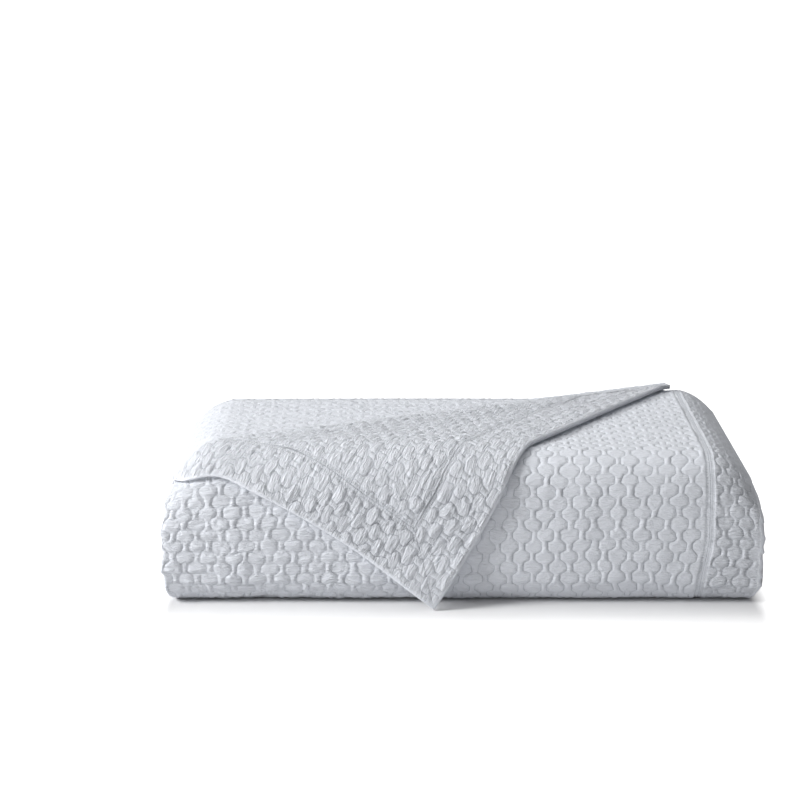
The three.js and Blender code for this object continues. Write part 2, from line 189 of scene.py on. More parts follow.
# The crease of the turned corner, and its hems from the tip
tip = np.array([turned["tipX"], -(bendLength + frontTop - turned["tipClearance"])])
homeCorner = np.array([-stack["end"], backT])
inward = (tip - homeCorner) / np.linalg.norm(tip - homeCorner)
along = np.array([-inward[1], inward[0]])
creaseMiddle = (tip + homeCorner) / 2


def creaseAt(x):
    return creaseMiddle[1] + (x - creaseMiddle[0]) * along[1] / along[0]


def toCrease(x, t):
    # how far in front of the crease a place is
    return (creaseAt(x) - t) * along[0]


sideHem = np.array([-stack["end"], creaseAt(-stack["end"])]) - tip
sideHemLength = np.linalg.norm(sideHem)
sideHem = sideHem / sideHemLength
endHem = np.array([sideHem[1], -sideHem[0]])
endHemLength = sideHemLength * abs(inward @ sideHem / (inward @ endHem))


def cornerPlace(u, w):
    # u runs from the tip along the side hem, w along the end hem
    return tip[0] + u * sideHem[0] + w * endHem[0], tip[1] + u * sideHem[1] + w * endHem[1]


def cornerRuns(x, t):
    dx, dt = x - tip[0], t - tip[1]
    return dx * sideHem[0] + dt * sideHem[1], dx * endHem[0] + dt * endHem[1]


def bowedHanging(x, t, h):
    u, w = cornerRuns(x, t)
    room = endHemLength * (1 - u / sideHemLength) - turned["bowRoom"]
    span = np.minimum(turned["bowSpan"], np.maximum(room, 1))
    fade = smoothStep((room - w) / span, 0, 1)
    far = np.clip(u / sideHemLength, 0, 1)
    dip = smoothStep(far, 0.74, 0.9) * smoothStep(1 - far, 0, 0.09)
    bow = (turned["hemBow"] * np.sin(math.pi * far) - turned["hemDip"] * dip) * fade
    nearTip, bulgeShare = np.clip(1 - u / turned["bulgeReach"], 0, 1), np.clip(w / turned["bulgeRun"], 0, 1)
    outward = turned["hemBulge"] * nearTip * np.sin(math.pi * bulgeShare)
    return hanging(x + outward, t + bow, h)


# Quilting: chains of wide pads and narrow necks, with neighbouring chains half a repeat apart.
# a counts chains and b counts rows of pads.
quilting = {
    "chainPitch": 12.75,
    "rowPitch": 12.0,
    "swing": 0.24,
    "padRise": 1.65,
    "neckRise": 1.8,
    "groove": -0.85,
    "wander": 0.14,
    "unevenRise": 0.28,
    "crinkle": 0.46,
    "pinch": 0.55,
    "pinchWidth": 0.13,
    "waveFactor": 1.7,
}


def cornered(b):
    return np.clip(quilting["waveFactor"] * np.cos(math.pi * b), -1, 1)


def wandered(a, b, seed):
    # a row and a chain never run quite straight
    amount = quilting["wander"]
    da = amount * (cloudy(a * 0.9, b * 0.8, seed) + 0.6 * cloudy(a * 2.1, b * 1.9, seed + 1))
    db = amount * (cloudy(a * 0.8, b * 0.9, seed + 2) + 0.6 * cloudy(a * 1.9, b * 2.2, seed + 3))
    slow = 0.22 * cloudy(a * 0.16, b * 0.2, seed + 4)
    return a + da, b + db + slow


def quiltHeight(a, b, seed, soft=1.0, ovals=0.0):
    # soft is 1 where the cloth is puckered and 0 where it lies smooth; ovals lowers the necks
    cell = np.floor(a)
    even = np.where(np.mod(cell, 2) == 0, 1.0, -1.0)
    shape = cornered(b)
    chain = np.where(a < cell + 0.5 + even * quilting["swing"] * shape, cell, cell + 1)
    wide = np.where(np.mod(chain, 2) == 0, shape, -shape)
    across = np.clip(np.abs(a - chain) / (0.5 + quilting["swing"] * wide), 0, 1)
    onPad = wide * 0.5 + 0.5
    puff = (1 - across ** (2.4 + (3.4 - 2.0 * soft) * onPad)) ** 0.6
    row = np.floor(b)
    share = smoothStep(b - row, 0, 1)
    own = hashed(chain, row, seed) * (1 - share) + hashed(chain, row + 1, seed) * share
    neck = quilting["neckRise"] * (1 - 0.45 * ovals)
    rise = neck + (quilting["padRise"] * (1 + 0.25 * ovals) - neck) * onPad
    rise = rise * (1 + quilting["unevenRise"] * own)
    rise = rise - quilting["pinch"] * soft * np.exp(-(((b - row) - 0.5) / quilting["pinchWidth"]) ** 2)
    lean = (0.3 * soft + 0.1) * hashed(chain, np.floor(b + 0.5), seed + 5) * (a - chain)
    fine = cloudy(a * 1.3 + 3 * cloudy(a * 0.5, b * 0.6, seed + 6), b * 4.2, seed + 7)
    coarse = cloudy(a * 1.1, b * 2.3 + 0.8 * cloudy(a, b, seed + 8), seed + 9)
    crinkle = quilting["crinkle"] * (0.35 + 0.85 * soft) * (fine + 0.7 * coarse) * (0.25 + 0.75 * puff)
    return quilting["groove"] + puff * (rise + lean) + crinkle


# A flat outline is a list of (a, b, c): it keeps the places with a * x + b * t >= c
def outlineOf(planes):
    reach = 2000.0
    kept = [np.array(p) for p in ((-reach, -reach), (reach, -reach), (reach, reach), (-reach, reach))]
    for a, b, c in planes:
        following = []
        for k, p in enumerate(kept):
            q = kept[(k + 1) % len(kept)]
            sp, sq = a * p[0] + b * p[1] - c, a * q[0] + b * q[1] - c
            if sp >= 0:
                following.append(p)
            if (sp >= 0) != (sq >= 0):
                following.append(p + (q - p) * sp / (sp - sq))
        kept = following
    return kept


def flatFace(lines, place, planes):
    # the cells of a lattice, cut to the outline, as (points, faces)
    first, second = np.meshgrid(lines[0], lines[1], indexing="ij")
    x, t = place(first.ravel(), second.ravel())
    rows, columns = len(lines[0]), len(lines[1])
    index = np.arange(rows * columns).reshape(rows, columns)
    quads = np.stack([index[:-1, :-1], index[1:, :-1], index[1:, 1:], index[:-1, 1:]], axis=-1).reshape(-1, 4)
    for a, b, c in planes:
        quads = quads[(a * x + b * t >= c - 1e-6)[quads].any(axis=1)]
    used, quads = np.unique(quads, return_inverse=True)
    quads = quads.reshape(-1, 4)
    mesh = bpy.data.meshes.new("flat")
    flat = np.stack([x[used], t[used], np.zeros(len(used))], axis=-1)
    mesh.from_pydata(flat.tolist(), [], quads.tolist())
    form = bmesh.new()
    form.from_mesh(mesh)
    bpy.data.meshes.remove(mesh)
    for a, b, c in planes:
        size = math.hypot(a, b)
        spot = Vector((a * c / size**2, b * c / size**2, 0))
        parts = form.verts[:] + form.edges[:] + form.faces[:]
        bmesh.ops.bisect_plane(
            form, geom=parts, dist=5e-4, plane_co=spot, plane_no=Vector((-a, -b, 0)), clear_outer=True
        )
    bmesh.ops.remove_doubles(form, verts=form.verts[:], dist=4e-3)
    form.verts.index_update()
    points = np.array([v.co[:2] for v in form.verts])
    faces = [[v.index for v in f.verts] for f in form.faces]
    form.free()
    first = points[faces[0]]
    turn = np.cross(first[1] - first[0], first[2] - first[0])
    if turn < 0:
        faces = [face[::-1] for face in faces]
    return points, faces


def rimOf(points, outline):
    # the points of each side of the outline in order, with their share of that side
    sides = []
    for k, start in enumerate(outline):
        way = outline[(k + 1) % len(outline)] - start
        long = np.linalg.norm(way)
        off = points - start
        share = off @ way / long**2
        away = np.abs(off[:, 0] * way[1] - off[:, 1] * way[0]) / long
        on = np.nonzero((away < 2e-3) & (share > -1e-5) & (share < 1 + 1e-5))[0]
        on = on[np.argsort(share[on])]
        sides.append([(int(i), float(share[i])) for i in on])
    return sides


def clothSlab(planes, upper, lower):
    # one closed piece of cloth between a fine upper and a plain lower face
    outline = outlineOf(planes)
    topPoints, topFaces = flatFace(*upper, planes)
    lowPoints, lowFaces = flatFace(*lower, planes)
    count = len(topPoints)
    faces = topFaces + [[i + count for i in face[::-1]] for face in lowFaces]
    for over, under in zip(rimOf(topPoints, outline), rimOf(lowPoints, outline)):
        i = j = 0
        while i + 1 < len(over) or j + 1 < len(under):
            nextOver = over[i + 1][1] if i + 1 < len(over) else 2
            nextUnder = under[j + 1][1] if j + 1 < len(under) else 2
            if nextUnder <= nextOver + 1e-6:
                faces.append([under[j][0] + count, under[j + 1][0] + count, over[i][0]])
                j += 1
            else:
                faces.append([under[j][0] + count, over[i + 1][0], over[i][0]])
                i += 1
    return topPoints, lowPoints, faces


def addObject(name, data):
    added = bpy.data.objects.new(name, data)
    bpy.context.scene.collection.objects.link(added)
    return added


def clothObject(name, points, faces, pattern, shown, material):
    # points in millimetres; pattern holds chains and rows, shown how deep the stitching and the puckers are,
    # with their painted shade, and how much painted shade lies along the seams
    mesh = bpy.data.meshes.new(name)
    shifted = (points - np.array([0, stack["toCentre"], 0])) / 1000
    shifted[:, 2] = np.clip(shifted[:, 2], 0, None)
    mesh.from_pydata(shifted.tolist(), [], faces)
    layer = mesh.uv_layers.new(name="clothMap")
    corners = np.zeros(len(mesh.loops), np.int32)
    mesh.loops.foreach_get("vertex_index", corners)
    layer.data.foreach_set("uv", pattern[corners].astype(np.float32).ravel())
    for key, values in zip(shownKeys, shown):
        values = np.broadcast_to(np.asarray(values, np.float32), len(points))
        mesh.attributes.new(key, "FLOAT", "POINT").data.foreach_set("value", np.ascontiguousarray(values))
    mesh.polygons.foreach_set("use_smooth", np.ones(len(mesh.polygons), bool))
    mesh.materials.append(material)
    mesh.update()
    mesh.validate()
    piece = addObject(name, mesh)
    triangles = sum(len(p.vertices) - 2 for p in mesh.polygons)
    print("made", name, "with", triangles, "triangles")
    return piece


def linesBetween(low, high, pitch):
    return np.linspace(low, high, max(1, round(abs(high - low) / pitch)) + 1)


# Materials
clothLooks = {
    "weaveScale": 1500.0,
    "threadScale": 2500.0,
    "face": (0.80, 0.826, 0.88),
    "reverse": (0.81, 0.835, 0.888),
    # the grey of painted shade in the grooves, rifts and seams
    "grooveShade": (0.36, 0.39, 0.44),
    "roughness": 0.93,
    "sheen": 0.12,
}
# the last key carries the painted shade along the seams' stitch rows
shownKeys = ("stitched", "puckered", "seamShade")


def openGroup(name, kind, inputs, outputs):
    # a node group with its named sockets, its way in and its way out
    group = bpy.data.node_groups.new(name, kind)
    for way, sockets in (("INPUT", inputs), ("OUTPUT", outputs)):
        for label, shape, *value in sockets:
            socket = group.interface.new_socket(name=label, in_out=way, socket_type="NodeSocket" + shape)
            if value:
                socket.default_value = value[0]
    return group, group.nodes.new("NodeGroupInput").outputs, group.nodes.new("NodeGroupOutput").inputs


def addNode(tree, kind, inputs, **settings):
    # each input is a value, or the socket that is linked to it
    node = tree.nodes.new(kind)
    for key, value in settings.items():
        setattr(node, key, value)
    for slot, value in inputs.items():
        if isinstance(value, bpy.types.NodeSocket):
            tree.links.new(value, node.inputs[slot])
        else:
            node.inputs[slot].default_value = value
    return node


def mathIn(tree):
    def calculated(operation, *values):
        return addNode(tree, "ShaderNodeMath", dict(enumerate(values)), operation=operation).outputs[0]

    return calculated


def quiltGroup():
    # gives the stitched groove and the crinkle of the pads from the cloth's own map; the groove also greys
    # the colour as painted shade
    group, given, result = openGroup(
        "quiltPattern", "ShaderNodeTree",
        [("Map", "Vector"), ("Swing", "Float", quilting["swing"]), ("Groove Width", "Float", 0.05),
         ("Stitched", "Float", 1.0), ("Puckered", "Float", 1.0), ("Crinkle", "Float", 1.0),
         ("Rifts", "Float", 0.5), ("Puff", "Float", 0.0)],
        [("Groove", "Float"), ("Height", "Float")],
    )
    calc = mathIn(group)

    def clamped(value, low):
        return calc("MAXIMUM", calc("MINIMUM", value, 1.0), low)

    def fading(value):
        return calc("SUBTRACT", 1.0, calc("MINIMUM", value, 1.0))

    def squared(value):
        return calc("MULTIPLY", value, value)

    parts = addNode(group, "ShaderNodeSeparateXYZ", {0: given["Map"]}).outputs
    a, b = parts[0], parts[1]
    wave = calc("COSINE", calc("MULTIPLY", b, math.pi))
    shape = clamped(calc("MULTIPLY", wave, quilting["waveFactor"]), -1.0)
    cell = calc("FLOOR", a)
    even = calc("MULTIPLY_ADD", calc("FLOORED_MODULO", cell, 2.0), -2.0, 1.0)
    swing = calc("MULTIPLY", calc("MULTIPLY", even, shape), given["Swing"])
    off = calc("ABSOLUTE", calc("SUBTRACT", calc("SUBTRACT", a, cell), calc("ADD", swing, 0.5)))
    near = fading(calc("DIVIDE", off, given["Groove Width"]))
    patches = {"Vector": given["Map"], "Scale": 0.9, "Detail": 2.0}
    uneven = addNode(group, "ShaderNodeTexNoise", patches).outputs[0]
    depth = calc("MULTIPLY", clamped(calc("MULTIPLY_ADD", uneven, 2.4, -0.35), 0.1), given["Stitched"])
    groove = calc("MULTIPLY", squared(near), depth)
    # short rifts across a chain, above and below its pads, greyed in the colour as painted shade
    ends = calc("ABSOLUTE", calc("SUBTRACT", calc("FRACT", b), 0.5))
    ends = fading(calc("DIVIDE", ends, 0.085))
    patchy = clamped(calc("MULTIPLY_ADD", uneven, -3.4, 2.2), 0.15)
    patchy = calc("MULTIPLY", patchy, calc("MULTIPLY", given["Puckered"], given["Rifts"]))
    groove = calc("MAXIMUM", groove, calc("MULTIPLY", squared(ends), patchy))
    group.links.new(groove, result["Groove"])
    stretch = addNode(group, "ShaderNodeMapping", {"Vector": given["Map"], "Scale": (1.5, 6.5, 1.0)})
    crinkle = addNode(group, "ShaderNodeTexNoise", {
        "Vector": stretch.outputs[0], "Scale": 1.0, "Detail": 4.0, "Roughness": 0.6, "Distortion": 0.5,
    })
    strength = calc("MULTIPLY", given["Crinkle"], given["Puckered"])
    ripple = calc("MULTIPLY", calc("SUBTRACT", crinkle.outputs[0], 0.5), strength)
    shoulder = calc("SUBTRACT", 1.0, squared(fading(calc("DIVIDE", off, 0.3))))
    raised = calc("MULTIPLY_ADD", shoulder, given["Puff"], ripple)
    group.links.new(calc("SUBTRACT", raised, calc("MULTIPLY", groove, 0.35)), result["Height"])
    return group


def weaveGroup():
    group, given, result = openGroup(
        "cottonWeave", "ShaderNodeTree",
        [("Place", "Vector"), ("Scale", "Float", clothLooks["weaveScale"])],
        [("Height", "Float"), ("Mottle", "Float")],
    )
    for scale, detail, way in ((given["Scale"], 2.0, "Height"), (60.0, 4.0, "Mottle")):
        inputs = {"Vector": given["Place"], "Scale": scale, "Detail": detail}
        noise = addNode(group, "ShaderNodeTexNoise", inputs)
        group.links.new(noise.outputs[0], result[way])
    return group


quiltPattern = quiltGroup()
cottonWeave = weaveGroup()


def newMaterial(name, inputs):
    # a material, its node tree and the inputs of its shader
    material = bpy.data.materials.new(name)
    material.use_nodes = True
    shader = material.node_tree.nodes["Principled BSDF"].inputs
    for key, value in inputs.items():
        shader[key].default_value = value
    return material, material.node_tree, shader


def mottled(tree, weave, colour):
    # a colour that is a little uneven over the cloth
    value = mathIn(tree)("MULTIPLY_ADD", weave.outputs["Mottle"], 0.10, 0.95)
    return addNode(tree, "ShaderNodeHueSaturation", {"Value": value, "Color": colour}).outputs[0]


def quiltedCotton(name, colour, grooveWidth, crinkle, grooveShadeShare, rifts, puff=0.0):
    material, tree, shader = newMaterial(name, {
        "Roughness": clothLooks["roughness"], "Specular IOR Level": 0.25,
        "Sheen Weight": clothLooks["sheen"], "Sheen Roughness": 0.6,
    })
    calc = mathIn(tree)
    place = addNode(tree, "ShaderNodeTexCoord", {})
    cloth = addNode(tree, "ShaderNodeUVMap", {}, uv_map="clothMap")
    stitched, puckered, seamShade = (
        addNode(tree, "ShaderNodeAttribute", {}, attribute_name=key).outputs["Fac"] for key in shownKeys
    )
    quilt = addNode(tree, "ShaderNodeGroup", {
        "Map": cloth.outputs[0], "Stitched": stitched, "Puckered": puckered,
        "Groove Width": grooveWidth, "Crinkle": crinkle, "Rifts": rifts, "Puff": puff,
    }, node_tree=quiltPattern)
    weave = addNode(tree, "ShaderNodeGroup", {"Place": place.outputs["Object"]}, node_tree=cottonWeave)
    # colour: paler on the pads, with painted shade greying the stitched grooves, the rifts and the seams'
    # stitch rows
    paintedShade = calc("MULTIPLY", quilt.outputs["Groove"], grooveShadeShare)
    paintedShade = calc("MAXIMUM", paintedShade, calc("MULTIPLY", seamShade, 0.42))
    base = addNode(tree, "ShaderNodeMix", {
        "Factor": paintedShade, "A": (*colour, 1), "B": (*clothLooks["grooveShade"], 1),
    }, data_type="RGBA")
    tree.links.new(mottled(tree, weave, base.outputs["Result"]), shader["Base Color"])
    deep = addNode(tree, "ShaderNodeBump", {
        "Height": quilt.outputs["Height"], "Distance": 0.0011, "Strength": 0.9,
    })
    fine = addNode(tree, "ShaderNodeBump", {
        "Height": weave.outputs["Height"], "Normal": deep.outputs[0], "Distance": 0.00012, "Strength": 0.6,
    })
    tree.links.new(fine.outputs[0], shader["Normal"])
    return material


faceCotton = quiltedCotton("faceCotton", clothLooks["face"], 0.065, 3.7, 0.85, 0.5)
layerCotton = quiltedCotton("layerCotton", clothLooks["face"], 0.09, 3.0, 0.6, 0.5, 2.4)
reverseCotton = quiltedCotton("reverseCotton", clothLooks["reverse"], 0.075, 4.8, 1.0, 0.95)
print("materials made")

# The outer layer: fine on the front and top, plain inside
outerCloth = {
    "fine": 1.35, "topFine": 2.6, "seamBand": 4.2, "hemRound": 3.0, "lift": 1.2, "calmer": 0.42, "seed": 11,
}
outerPhase = (87.8, -132.7)  # a wide pad is centred here


def besideEdge(distance, reach, depth):
    # rounds a cut edge: nothing at reach from it, depth at the edge itself
    share = np.clip(1 - distance / reach, 0, 1)
    return depth * (1 - np.sqrt(np.clip(1 - share**2, 0, 1)))


def outerMap(x, t):
    rows = (levelRows(x, t) - outerPhase[1]) / quilting["rowPitch"]
    return (x - outerPhase[0]) / quilting["chainPitch"], rows


# The two rows of stitches beside a seam, and how the cloth draws up there
seams = {"rowFrom": 3.0, "rowWidth": 0.85, "tick": 0.42, "tickReach": 2.2, "sink": 0.55, "lowered": 0.25}


# painted shade along the seam line and its two stitch rows, which greys the cloth's colour
def seamShadeRows(toSeam):
    rows = np.exp(-((toSeam - seams["rowFrom"]) / seams["rowWidth"]) ** 2)
    return rows + 0.6 * np.exp(-(toSeam / 0.8) ** 2)


def seamPuckers(toSeam, run, seed):
    beside = np.exp(-((toSeam - seams["rowFrom"]) / seams["tickReach"]) ** 2) * (toSeam > 0)
    uneven = cloudy(run / 1.7, toSeam / 5, seed + 31) + 0.5 * cloudy(run / 3.4, toSeam / 4, seed + 32)
    ticks = seams["tick"] * beside * uneven
    return ticks - seams["sink"] * np.exp(-((toSeam - seams["rowFrom"]) / 0.9) ** 2)


def offRest(t):
    # the quilting is flattened where the stack rests
    return smoothStep(t, bottomRunStart + 2, bottomRunStart + 16)


def outerTop(x, t):
    a, b = wandered(*outerMap(x, t), outerCloth["seed"])
    soft = 1 - smoothStep(x, -190, 40) + 0.25 * cloudy(x / 45, t / 40, 73)
    soft = np.clip(soft, 0, 1)
    pads = quiltHeight(a, b, outerCloth["seed"], soft)
    toSeam, toEnd = stack["rightSeam"] - x, x + stack["end"]
    bySeam = smoothStep(toSeam, outerCloth["seamBand"] - 1.5, outerCloth["seamBand"] + 1.5)
    byCrease = smoothStep(toCrease(x, t), 4, 11)
    show = bySeam * offRest(t) * smoothStep(backT - t, 2, 6) * byCrease
    lift = outerCloth["lift"] - outerCloth["calmer"] * toEnd / (2 * stack["end"])
    drift = 0.7 * cloudy(x / 52, t / 60, 71) + 0.35 * cloudy(x / 21, t / 24, 72)
    h = (pads * lift + drift) * show - seams["lowered"] * (1 - bySeam)
    h = h - besideEdge(toEnd, outerCloth["hemRound"], 3.2) + seamPuckers(toSeam, t, outerCloth["seed"])
    return a, b, h, (show * (0.35 + 0.6 * (1 - soft)), byCrease * (0.4 + 0.45 * soft), seamShadeRows(toSeam))


def splitSlab(name, planes, upper, lower, top, low, mapped, material):
    topPoints, lowPoints, faces = clothSlab(planes, upper, lower)
    a, b, h, show = top(*topPoints.T)
    points = np.concatenate([mapped(*topPoints.T, h), mapped(*lowPoints.T, low(*lowPoints.T))])
    pattern = np.concatenate([np.stack([a, b], axis=-1), lowPoints / quilting["chainPitch"]])
    show = [np.concatenate([part, np.full(len(lowPoints), rest)]) for part, rest in zip(show, (0.3, 0.3, 0))]
    return clothObject(name, points, faces, pattern, show, material)


def flatPlace(x, t):
    return x, t


def frontRows(first, fine, topFine):
    # coarse under the stack, fine on the front, less so on the top
    return np.concatenate([
        linesBetween(first, fineFrom - 20, 40), linesBetween(fineFrom, 6, fine),
        linesBetween(6 + topFine, backT, topFine),
    ])


def roundedLow(toEdge):
    return -stack["cloth"] + besideEdge(toEdge, 3.0, 2.2)


bottomRunEnd = bottomRunStart - (stack["depth"] - stack["bottomBend"] - stack["turnInset"])
fineFrom = bottomRunStart - 4
outerColumns = np.concatenate([
    -stack["end"] + np.array([0, 0.3, 0.8, 1.5, 2.4]),
    linesBetween(-stack["end"] + 3.6, stack["rightSeam"] - 0.8, outerCloth["fine"]),
    [stack["rightSeam"]],
])
outerRows = frontRows(bottomRunEnd, outerCloth["fine"], outerCloth["topFine"])
insideColumns = np.concatenate([[-320, -318, -310], linesBetween(-300, 300, 25), [310, 318, 320]])
insideRows = np.concatenate([
    linesBetween(-560, bottomRunStart, 60),
    linesBetween(bottomRunStart + 5, -lowerBendStart, 5),
    linesBetween(-lowerBendStart + 16, -bendLength, 16),
    linesBetween(-bendLength + 5, 0, 5),
    linesBetween(25, backT + 12, 25),
])
outerLayer = splitSlab(
    "outerLayer",
    [(1, 0, -stack["end"]), (-1, 0, -stack["rightSeam"]), (0, 1, bottomRunEnd), (0, -1, -backT),
     (inward[0], inward[1], inward @ creaseMiddle + 4)],
    ((outerColumns, outerRows), flatPlace),
    ((insideColumns, insideRows), flatPlace),
    outerTop,
    lambda x, t: roundedLow(x + stack["end"]),
    wrapped,
    faceCotton,
)

# The border along the right edge
rightBorder = {
    "fine": 1.3, "topFine": 2.4, "gap": 0.08, "band": 4.2, "chainPitch": 11.75, "rowPitch": 11.16,
    "lift": 1.08, "seed": 23,
}
rightStart = stack["rightSeam"] + rightBorder["gap"]


def rightTop(x, t):
    toSeam, toEnd = x - rightStart, stack["end"] - x
    a = (toSeam - 4.8) / rightBorder["chainPitch"]
    a, b = wandered(a, (levelRows(x, t) + 128) / rightBorder["rowPitch"], rightBorder["seed"])
    pads = quiltHeight(a, b, rightBorder["seed"], 0.6) * rightBorder["lift"]
    bySeam = smoothStep(toSeam, rightBorder["band"] - 1.5, rightBorder["band"] + 1.5)
    byHem = smoothStep(toEnd, 3.5, 8)
    show = bySeam * byHem * offRest(t) * smoothStep(backT - t, 4, 9)
    hem = 0.5 * (1 - byHem) * smoothStep(toEnd, 0, 2)
    h = pads * show + seamPuckers(toSeam, t, rightBorder["seed"]) + hem
    h = h - seams["lowered"] * (1 - bySeam) - besideEdge(toEnd, 3.0, 3.0)
    return a, b, h, (show * 0.8, 0.25 + 0.6 * show, seamShadeRows(toSeam))


rightColumns = np.concatenate([
    [rightStart],
    linesBetween(rightStart + 0.8, stack["end"] - 3.4, rightBorder["fine"]),
    stack["end"] - np.array([2.3, 1.4, 0.7, 0.3, 0]),
])
rightEndT = bottomRunStart - (stack["depth"] - 20 - stack["bottomBend"]) + rightBorder["gap"]
rightRows = frontRows(rightEndT, rightBorder["fine"], rightBorder["topFine"])
borderRight = splitSlab(
    "borderRight",
    [(1, 0, rightStart), (-1, 0, -stack["end"]), (0, 1, rightEndT), (0, -1, -backT)],
    ((rightColumns, rightRows), flatPlace),
    ((insideColumns, insideRows), flatPlace),
    rightTop,
    lambda x, t: roundedLow(stack["end"] - x),
    wrapped,
    faceCotton,
)

# The turned corner shows the reverse: a field and two border strips that meet in a mitre at the tip
corner = {
    "rowPitch": 10.4, "fine": 1.25, "seamBand": 2.2, "hemBand": 2.6, "lift": 1.12, "gap": 0.08,
    "stop": 4.0, "fieldPhase": (3, 4), "stripPhase": (5, 6), "seed": 37,
}
border = turned["border"]


def cornerPlane(u, w, least):
    a = u * sideHem[0] + w * endHem[0]
    b = u * sideHem[1] + w * endHem[1]
    return a, b, least + a * tip[0] + b * tip[1]


def cornerTop(chainPhase, rowPhase, seed):
    def top(x, t):
        u, w = cornerRuns(x, t)
        a, b = wandered((w - chainPhase) / quilting["chainPitch"], (u - rowPhase) / corner["rowPitch"], seed)
        pads = quiltHeight(a, b, seed, 0.8, 0.3) * corner["lift"]
        toSide, toOther = np.abs(u - border), np.abs(w - border)
        onField = (u > border) & (w > border)
        toSeam = np.where(onField, np.minimum(toSide, toOther), np.where(u < w, toSide, toOther))
        toHem = np.minimum(u, w)
        dent = np.exp(-((toSeam - seams["rowFrom"]) / 1.3) ** 2)
        bySeam = smoothStep(toSeam, 0.2, corner["seamBand"]) * (1 - 0.8 * dent)
        byHem = smoothStep(toHem, corner["hemBand"] - 1.4, corner["hemBand"] + 1.4)
        byTip = smoothStep(u + w, 9, 20)
        show = bySeam * byHem * byTip * smoothStep(toCrease(x, t), 4, 10)
        streak = 0.5 * cloudy(w / 14 + 1.2 * cloudy(u / 20, w / 30, seed + 13), u / 2.9, seed + 12)
        h = (pads + streak) * show + 0.8 * cloudy(u / 34, w / 48, seed + 14) * byHem * byTip
        h = h + seamPuckers(toSeam, np.maximum(u, w), seed) + 0.35 * (1 - byHem) - 0.2 * (1 - bySeam)
        h = h - besideEdge(toHem, corner["hemBand"], 2.4) + (turned["clearance"] + turned["cloth"])
        return a, b, h, (show * 0.75, 0.25 + 0.7 * byHem * byTip, seamShadeRows(toSeam))

    return top


def cornerLow(x, t):
    return turned["clearance"] + besideEdge(np.minimum(*cornerRuns(x, t)), corner["hemBand"], 1.6)


edgeSteps = np.array([0, 0.3, 0.8, 1.5, 2.4])
sideLines = np.concatenate([edgeSteps, linesBetween(3.6, sideHemLength + 12, corner["fine"])])
endLines = np.concatenate([edgeSteps, linesBetween(3.6, endHemLength + 24, corner["fine"])])
lowSideLines = np.concatenate([[0, 1, 2.6, 10], linesBetween(20, sideHemLength + 14, 12)])
lowEndLines = np.concatenate([[0, 1, 2.6, 10], linesBetween(20, endHemLength + 26, 12)])
seamHalf = corner["gap"] / 2
mitreHalf = 0.75 * corner["gap"]
hems = [cornerPlane(1, 0, 0), cornerPlane(0, 1, 0)]
fieldTop = cornerTop(*corner["fieldPhase"], corner["seed"])
stripTop = cornerTop(*corner["stripPhase"], corner["seed"] + 20)


def cornerPiece(name, planes, top):
    limit = (inward[0], inward[1], inward @ creaseMiddle + corner["stop"])
    return splitSlab(
        name,
        [*hems, *planes, limit],
        ((sideLines, endLines), cornerPlace),
        ((lowSideLines, lowEndLines), cornerPlace),
        top,
        cornerLow,
        bowedHanging,
        reverseCotton,
    )


cornerField = cornerPiece(
    "cornerField",
    [cornerPlane(1, 0, border + seamHalf), cornerPlane(0, 1, border + seamHalf)],
    fieldTop,
)
borderCornerSide = cornerPiece(
    "borderCornerSide",
    [cornerPlane(0, -1, seamHalf - border), cornerPlane(1, -1, mitreHalf)],
    stripTop,
)
borderCornerEnd = cornerPiece(
    "borderCornerEnd",
    [cornerPlane(-1, 0, seamHalf - border), cornerPlane(-1, 1, mitreHalf)],
    stripTop,
)

# The roll of cloth along the crease
crease = {"reach": 12.0, "inset": 0.35, "step": 1.6, "steps": 20, "relief": 0.55, "seed": 11}


def ringFaces(index):
    # the quads between each closed ring of points and the next
    following = np.roll(index, -1, axis=1)
    return np.stack([index[:-1], following[:-1], following[1:], index[1:]], axis=-1).reshape(-1, 4).tolist()


